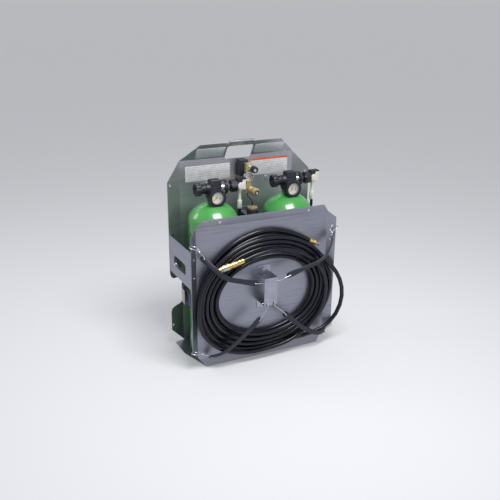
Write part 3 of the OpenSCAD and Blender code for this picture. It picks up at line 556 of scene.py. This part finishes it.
band_section = [(-1.1, -23.5), (-0.7, -25), (0.7, -25), (1.1, -23.5), (1.1, -8), (1.1, 8), (1.1, 23.5),
                (0.7, 25), (-0.7, 25), (-1.1, 23.5), (-1.1, 8), (-1.1, -8)]
band_height = 205
axis_x = valve_x["right"]
line = band_line()
gone = [0.0]
for p, q in zip(line, line[1:]):
    gone.append(gone[-1] + (q - p).length / 1000)
for side, s in (("left", -1), ("right", 1)):
    rings = []
    for i, p in enumerate(line):
        t = (line[min(len(line) - 1, i + 1)] - line[max(0, i - 1)]).normalized()
        out = Vector((t.y, -t.x, 0))
        face = [(p + out * h, w) for h, w in band_section]
        rings.append([Vector((s * (axis_x + f.x), valve_y + f.y, band_height + w)) / 1000 for f, w in face])
    band = swept(side + "_webbing", rings, webbing)
    layer = band.data.uv_layers.new(name="weave")
    for loop in band.data.loops:
        v = loop.vertex_index
        ring_of = min(len(line) - 1, v // len(band_section))
        layer.data[loop.index].uv = (gone[ring_of], band.data.vertices[v].co.z)
    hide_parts(side + "_cylinder_strap")

# Pressed steel: grey with a brown cast, brushed along the strap, rubbed brighter in patches
buckle_steel, shader = new_material("brushed_pressed_steel", {"Base Color": colour("#a8a59f"),
                                                              "Metallic": 1.0})
spot = add_node(buckle_steel, "ShaderNodeTexCoord", {}).outputs["Object"]
along = add_node(buckle_steel, "ShaderNodeMapping", {"Vector": spot, "Scale": (30.0, 30.0, 700.0)})
brush = add_node(buckle_steel, "ShaderNodeTexNoise", {"Vector": along.outputs[0], "Scale": 1.0,
                                                      "Detail": 3.0})
add_node(buckle_steel, "ShaderNodeValToRGB", {"Fac": brush.outputs["Fac"]}, (shader, "Base Color"),
         [(0.3, "#938f88"), (0.7, "#b5b2ad")])
rub = add_node(buckle_steel, "ShaderNodeTexNoise", {"Vector": spot, "Scale": 60.0, "Detail": 4.0})
add_node(buckle_steel, "ShaderNodeMapRange", {"Value": rub.outputs["Fac"], "To Min": 0.2, "To Max": 0.42},
         (shader, "Roughness"))
buckles = ("left_buckle_frame", "right_buckle_frame", "left_buckle_lever", "right_buckle_lever",
           "buckle_pins")
dress(buckle_steel, *buckles)
soften(0.0005, *buckles)


# Air hose: thirteen metres of black rubber hose with a 15 mm cover, wound on the front panel.
# It runs in along the panel, steps up a layer, runs out again, and its last loop lies across the front.
# The four rubber straps hold it, and one loop of the front layer hangs loose at the right.
def smooth(x):
    c = max(0.0, min(1.0, x))
    return c * c * (3 - 2 * c)


def rise(n, start, length):
    return smooth((n - start) / length)


# A point of the coil after n turns: rho is how far out it lies, about 0 on the innermost turn and 1 on the
# outermost, and layer is how many hoses lie under it
first_angle = 55
turn_step = 1 / 4.6
in_turns = 5.1
out_from = 5.85
out_to = 9.4
inmost = 0.1335
loose_at = 8.775
coil_x = 10
coil_z = 238
hose_width = 15
hose_gap = 0.6
panel_y = -111


def coil_point(n):
    t = math.radians(first_angle + 360 * n)
    c = math.cos(t)
    s = math.sin(t)
    if n < in_turns:
        rho = 1 - n * turn_step
    elif n < out_from:
        rho = mix(1 - in_turns * turn_step, inmost, (n - in_turns) / (out_from - in_turns))
    elif n < out_to:
        rho = inmost + (n - out_from) * turn_step
    else:
        rho = inmost + (out_to - out_from) * turn_step - 0.13 * rise(n, 9.4, 0.2) - 0.456 * rise(n, 9.6, 0.4)
    start = 1 - smooth(n / 0.12)
    layer = (rise(n, 4.6, 0.5) + rise(n, 9.12, 0.25) + 0.45 * rise(n, 9.75, 0.35)
             + 0.5 * start + 0.9 * rise(n, 0.7, 0.06) * (1 - rise(n, 0.86, 0.06))
             + 0.5 * rise(n, 8.69, 0.05) * (1 - rise(n, 8.88, 0.06)))
    d = n - loose_at
    reach = 0.15 if d < 0 else 0.18
    slack = 35.5 * (1 + math.cos(math.pi * d / reach)) if abs(d) < reach else 0
    over = 0 if n < 4 else min(1, layer)
    bulge = (10 * over - 10 if c > 0 and s > 0 else 20 if c < 0 and s < 0 else 0) * 2 * abs(c * s)
    k = rho * bulge + slack - 2 * start
    # Half widths and heights: innermost turn of the back and front layers, then outermost turn of both
    across = (186, 186, 264, 258) if c > 0 else (187, 199, 258, 271)
    upright = (146, 146, 232, 218) if s > 0 else (144, 144, 216, 216)
    a = mix(mix(across[0], across[1], over), mix(across[2], across[3], over), rho) + k
    b = mix(mix(upright[0], upright[1], over), mix(upright[2], upright[3], over), rho) + k
    y = panel_y - hose_gap - hose_width / 2 - (hose_width + hose_gap) * layer
    return Vector((coil_x + a * c, y, coil_z + b * s)) / 1000


steps_per_turn = 48
end_step = 1 / 24
turns = 244 / 24
fitting_lead = 0.015
plug_dir = (coil_point(0) - coil_point(end_step)).normalized()
coupler_dir = (coil_point(turns) - coil_point(turns - end_step)).normalized()
hose_points = ([coil_point(0) + fitting_lead * plug_dir]
               + [coil_point(i / steps_per_turn) for i in range(round(turns * steps_per_turn) + 1)]
               + [coil_point(turns) + fitting_lead * coupler_dir])
air_hose = round_run("air_hose", hose_points, hose_width / 2000, hose_rubber)
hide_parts("hose_coil")

# Hose fittings: a plug at the start and a coupler at the end, turned from brass bar with plated steel tips.
# The ferrules are crimped on the hose, and the coupler's sleeve slides back to let a plug go.
# Turned brass: bright yellow, with brown tarnish in patches. Nickel plate: a hazy mirror
brass = mottled("turned_brass", (90, 4), {"Metallic": 1.0}, shades=((0.3, "#cfae62"), (0.62, "#ecd48c")),
                gloss=(0.34, 0.18))
nickel = mottled("nickel_plated_steel", (140, 3), {"Base Color": colour("#c9ccd2"), "Metallic": 1.0},
                 gloss=(0.12, 0.3))


def plated_from(piece, where, start):
    back = where.inverted()
    for face in piece.data.polygons:
        if (back @ face.center).z * 1000 > start:
            face.material_index = 1


plug_outline = [(0, 0.1), (7.2, 0.1), (7.8, 0.7), (7.8, 5), (7.2, 5.6), (7.2, 7.4), (7.8, 8), (7.8, 12),
                (7.2, 12.6), (7.2, 14.4), (7.8, 15), (7.8, 19), (7.2, 19.8), (6.2, 19.8), (6.2, 21.2),
                (7.3, 21.2), (7.9, 21.8), (7.9, 27.8), (7.3, 28.4), (5.6, 28.4), (5.6, 36), (4.2, 37.2),
                (4.2, 41), (5.6, 42), (5.6, 46), (4.6, 47), (0, 47)]
coupler_outline = [(0, 0.1), (8.2, 0.1), (8.9, 0.9), (8.9, 9), (8.4, 9.8), (8.4, 11), (8.9, 11.8), (8.9, 20),
                   (8.4, 20.8), (8.4, 22), (8.9, 22.8), (8.9, 29.6), (8.2, 30.4), (7.6, 30.4), (7.6, 31.6),
                   (9.8, 31.6), (10.5, 32.4), (10.5, 35.4), (9.3, 36.2), (9.3, 37.4), (10.5, 38.2),
                   (10.5, 42.8), (9.8, 43.6), (8.5, 43.8), (8.5, 80.2), (10, 80.2), (10.5, 80.8),
                   (10.5, 83.4), (10, 84), (9, 84.2), (9, 86), (8.2, 91), (6.8, 102.4), (6.3, 102.9),
                   (5.5, 102.9), (5.5, 60), (0, 60)]
sleeve_outline = [(8.95, 52), (11.4, 52), (12, 52.6), (12, 55), (11.4, 55.6), (11.4, 56.4), (12, 57),
                  (12, 64.4), (11.4, 65.2), (11.4, 66.2), (12, 67), (12, 69.6), (11.5, 70.2), (11.5, 70.8),
                  (12, 71.4), (12, 74), (11.5, 74.6), (11.5, 75.2), (12, 75.8), (12, 79), (11.4, 79.6),
                  (8.95, 79.6)]
plug_tip_from = 36.4
sleeve_tip_from = 65.7
plug_place = Matrix.Translation(hose_points[0]) @ plug_dir.to_track_quat("Z", "Y").to_matrix().to_4x4()
plug = spun("hose_plug_fitting", plug_outline, plug_place, [brass, nickel])
plated_from(plug, plug_place, plug_tip_from)
coupler_place = Matrix.Translation(hose_points[-1]) @ coupler_dir.to_track_quat("Z", "Y").to_matrix().to_4x4()
coupler = spun("hose_coupler_body", coupler_outline, coupler_place, [brass, nickel])
sleeve = spun("hose_coupler_slide", sleeve_outline, coupler_place, [brass, nickel], "coupler_sleeve")
plated_from(sleeve, coupler_place, sleeve_tip_from)
for piece, node in ((plug, "hose_plug"), (coupler, "hose_coupler"), (sleeve, "hose_coupler_sleeve")):
    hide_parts(node)

# Rubber straps: four moulded straps stretched over the coil, from the frame's corners to the bracket.
# Each is flat with a crowned face, widens into an eye at both ends, and is held by wire hooks.
# Moulded rubber: a dull blue-black, with a pale bloom in patches
strap_rubber = mottled("moulded_rubber", (45, 4), {}, shades=((0.3, "#131623"), (0.7, "#1f2335")),
                       gloss=(0.4, 0.6))
# For each strap, its line from the frame to the bracket, and its twist in degrees at these ends
strap_lines = {
    "upper_left": (((-236, -125, 411), (-206, -163, 378), (-172, -178, 346), (-112, -176, 322),
                    (-52, -171, 304)), 0, 0),
    "upper_right": (((260, -132, 420), (236, -155, 384), (200, -166, 348), (131, -169, 328),
                     (59, -171, 312)), 40, 0),
    "lower_left": (((-214, -126, 40), (-180, -157, 60), (-136, -169.5, 92), (-86, -171, 132),
                    (-38, -171, 174)), -26, -6),
    "lower_right": (((250, -134, 54), (204, -157, 58), (142, -165, 92), (96, -168, 132),
                     (50, -171, 174)), 0, 0),
}
strap_width = 17
bracket_widening = 5
frame_widening = 4
# The crowned face stands this many times as far from the strap's line as its back does
back_depth = 0.0024
face_crown = 1.8
corner_power = 0.62
strap_tip = 0.010
eye_radius = 0.0034
end_stops = [0, 0.0012, 0.003, 0.0055, 0.009]
first_stop = 0.013
strap_eyes = {}
for side, (points, twist_a, twist_b) in strap_lines.items():
    line = eased(points, 24)
    length = run_length(line)
    stops = end_stops + [mix(first_stop, length - first_stop, i / 36) for i in range(37)]
    stops += [length - e for e in reversed(end_stops)]
    rings = []
    gone = 0.0
    i = 0
    for stop in stops:
        while i < len(line) - 2 and gone + (line[i + 1] - line[i]).length < stop:
            gone += (line[i + 1] - line[i]).length
            i += 1
        p = line[i] + (line[i + 1] - line[i]).normalized() * (stop - gone)
        u = stop / length
        t = (line[min(len(line) - 1, i + 2)] - line[max(0, i - 1)]).normalized()
        w0 = t.cross(Vector((0, 1, 0))).normalized()
        h0 = w0.cross(t).normalized()
        q = math.radians(mix(twist_a, twist_b, smooth(u)))
        w = math.cos(q) * w0 + math.sin(q) * h0
        h = math.cos(q) * h0 - math.sin(q) * w0
        tip = min(stop, length - stop) / strap_tip
        cap = math.sqrt(max(0.0, 1 - (1 - min(1.0, tip)) ** 2))
        wide = strap_width + bracket_widening * rise(u, 0.74, 0.2) + frame_widening * smooth((0.22 - u) / 0.2)
        half = wide / 2000 * (0.35 + 0.65 * cap)
        ring = []
        for k in range(20):
            f = 2 * math.pi * k / 20
            a = math.copysign(abs(math.cos(f)) ** corner_power, math.cos(f)) * half
            b = math.copysign(abs(math.sin(f)) ** corner_power, math.sin(f)) * back_depth * (0.6 + 0.4 * cap)
            ring.append(p + w * a + h * (b if b > 0 else b * face_crown))
        rings.append(ring)
    strap = swept(side + "_rubber_strap", rings, strap_rubber)
    strap_eyes[side] = [Vector(points[0]) + 9 * (Vector(points[1]) - Vector(points[0])).normalized(),
                        Vector(points[4]) + 11 * (Vector(points[3]) - Vector(points[4])).normalized()]
    for eye in strap_eyes[side]:
        bpy.ops.object.select_all(action="DESELECT")
        bpy.ops.mesh.primitive_cylinder_add(vertices=24, radius=eye_radius, depth=0.05, location=eye / 1000,
                                            rotation=(math.radians(90), 0, 0))
        drill = bpy.context.object
        cutter = strap.modifiers.new("eye", "BOOLEAN")
        cutter.operation = "DIFFERENCE"
        cutter.object = drill
        bpy.context.view_layer.objects.active = strap
        bpy.ops.object.modifier_apply(modifier=cutter.name)
        bpy.data.objects.remove(drill)
    strap.select_set(True)
    bpy.ops.object.shade_smooth_by_angle(angle=math.radians(40))
    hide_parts(side + "_strap")


# Wire hooks: bent from bright zinc-plated wire. Each corner hook has an eye through the hole in the frame's
# lip and a shank to the strap. The upper bracket hooks go round the bracket's edge and come out through its
# hole from behind, and the lower ones are S-shaped.
wire_radius = 0.0017


def wire(name, bends):
    made = round_run(name, eased(bends, 8), wire_radius, zinc)
    return made


hole_x = 263.61
hole_y = -123.5
lip_run = 0.780
lip_rise = 0.625
bracket_hole_x = 15
bracket_hole_y = -168.2
for side, s, z, low in (("upper_left", -1, 450, 302), ("upper_right", 1, 450, 302),
                        ("lower_left", -1, 68, 224), ("lower_right", 1, 68, 224)):
    hole = Vector((s * hole_x, hole_y, z))
    out = Vector((s * lip_run, -lip_rise, 0))
    front = Vector((-s * lip_rise, -lip_run, 0))
    outer, inner = strap_eyes[side]
    pull = (outer - hole).normalized()
    neck = hole + 20 * pull + 7 * front
    tail = [neck + 9 * pull + 4.4 * front + 4 * out, neck + 1 * pull + 4.8 * front + 0.5 * out]
    loop = [hole + 12 * pull + 7 * front - 6 * out, hole + 2 * pull + 6.5 * front - 3 * out,
            hole + 2.5 * front, hole - 5 * front + 3 * out, hole - 6 * front + 11 * out,
            hole + 16.5 * out + 1 * pull, hole + 6 * pull + 13.5 * out + 6 * front]
    shank = [neck + 1 * out, outer + 9 * front - 8 * pull, outer + Vector((0, -9, 0)),
             outer + Vector((0, 1, 0)), outer + Vector((0, 6, 0)) - 3 * pull]
    corner = wire(side + "_corner_hook", tail + loop + shank)
    eye = Vector((s * bracket_hole_x, bracket_hole_y, low))
    way = (inner - eye).normalized()
    near_strap = eye.lerp(inner, 0.62)
    grip = [inner + Vector((0, -8, 0)) - 3 * way, inner + Vector((0, -5, 0)) + 3 * way,
            inner + Vector((0, 3, 0)) + 1 * way, inner + Vector((0, 6, 0)) - 2 * way]
    if side.startswith("upper"):
        bends = [eye + Vector((s * -0.4, -2.6, 0.2)), eye + Vector((0, 0.4, 0)),
                 eye + Vector((s * 2, 3.9, -0.4)), eye + Vector((s * 8, 3.9, -1.2)),
                 eye + Vector((s * 12.6, 0.2, -1.8)), eye + Vector((s * 18, -4.4, -2)),
                 near_strap + Vector((0, -7, -1))]
    else:
        bends = [eye + Vector((-15 if s < 0 else 7, 5, -3)), eye + Vector((s * 5, 4.4, -1)),
                 eye + Vector((s * 2, 4, 0)), eye, eye + Vector((s * -1, -5, -3)),
                 eye + Vector((s * -1, -7, -14)), near_strap + Vector((0, -8, -3))]
    plain = wire(side + "_bracket_hook", bends + grip)
    if side == "upper_left":
        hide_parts("corner_hooks")
        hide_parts("bracket_hooks")

# Studio: a plain pale floor in an even pale room, with one soft lamp above the front and a weak one behind.
# The front lamp gives the highlights on the domes and the thin ones along the hose.
pale = colour("#f4f5f8")
bpy.context.scene.view_settings.view_transform = "Standard"
bpy.ops.object.select_all(action="DESELECT")
bpy.ops.mesh.primitive_plane_add(size=160, location=(0, 0, -0.0002))
floor = bpy.context.object
floor.name = "floor"
# Floor paint: matt, and a little brighter to the eye and in mirrors than its light makes it
floor_glow = 0.2
floor_paint, shader = new_material("floor_paint", {"Base Color": colour("#c9cace"), "Roughness": 0.8,
                                                   "Specular IOR Level": 0.1, "Emission Color": pale})
path = add_node(floor_paint, "ShaderNodeLightPath", {}).outputs
seen = add_node(floor_paint, "ShaderNodeMath", {0: path["Is Camera Ray"], 1: path["Is Glossy Ray"]},
                operation="MAXIMUM")
passed = add_node(floor_paint, "ShaderNodeMath", {0: seen.outputs[0], 1: path["Is Transmission Ray"]},
                  operation="MAXIMUM")
add_node(floor_paint, "ShaderNodeMath", {0: passed.outputs[0], 1: floor_glow}, (shader, "Emission Strength"),
         operation="MULTIPLY")
floor.data.materials.append(floor_paint)


def lamp(name, where, aim, size, watts):
    bpy.ops.object.light_add(type="AREA", location=where)
    made = bpy.context.object
    made.name = name
    made.rotation_euler = (Vector(aim) - Vector(where)).to_track_quat("-Z", "Y").to_euler()
    made.data.shape = "RECTANGLE"
    made.data.size, made.data.size_y = size
    made.data.energy = watts


lamp("front_lamp", where=(0.0, -0.85, 1.95), aim=(0, 0, 0.55), size=(0.9, 0.6), watts=33)
lamp("rear_lamp", where=(-1.6, 1.1, 1.5), aim=(0, 0, 0.4), size=(0.6, 0.6), watts=5)
room = bpy.data.worlds.new("pale_room")
bpy.context.scene.world = room
room.use_nodes = True
air = room.node_tree.nodes["Background"].inputs
air["Color"].default_value = pale
air["Strength"].default_value = 0.54
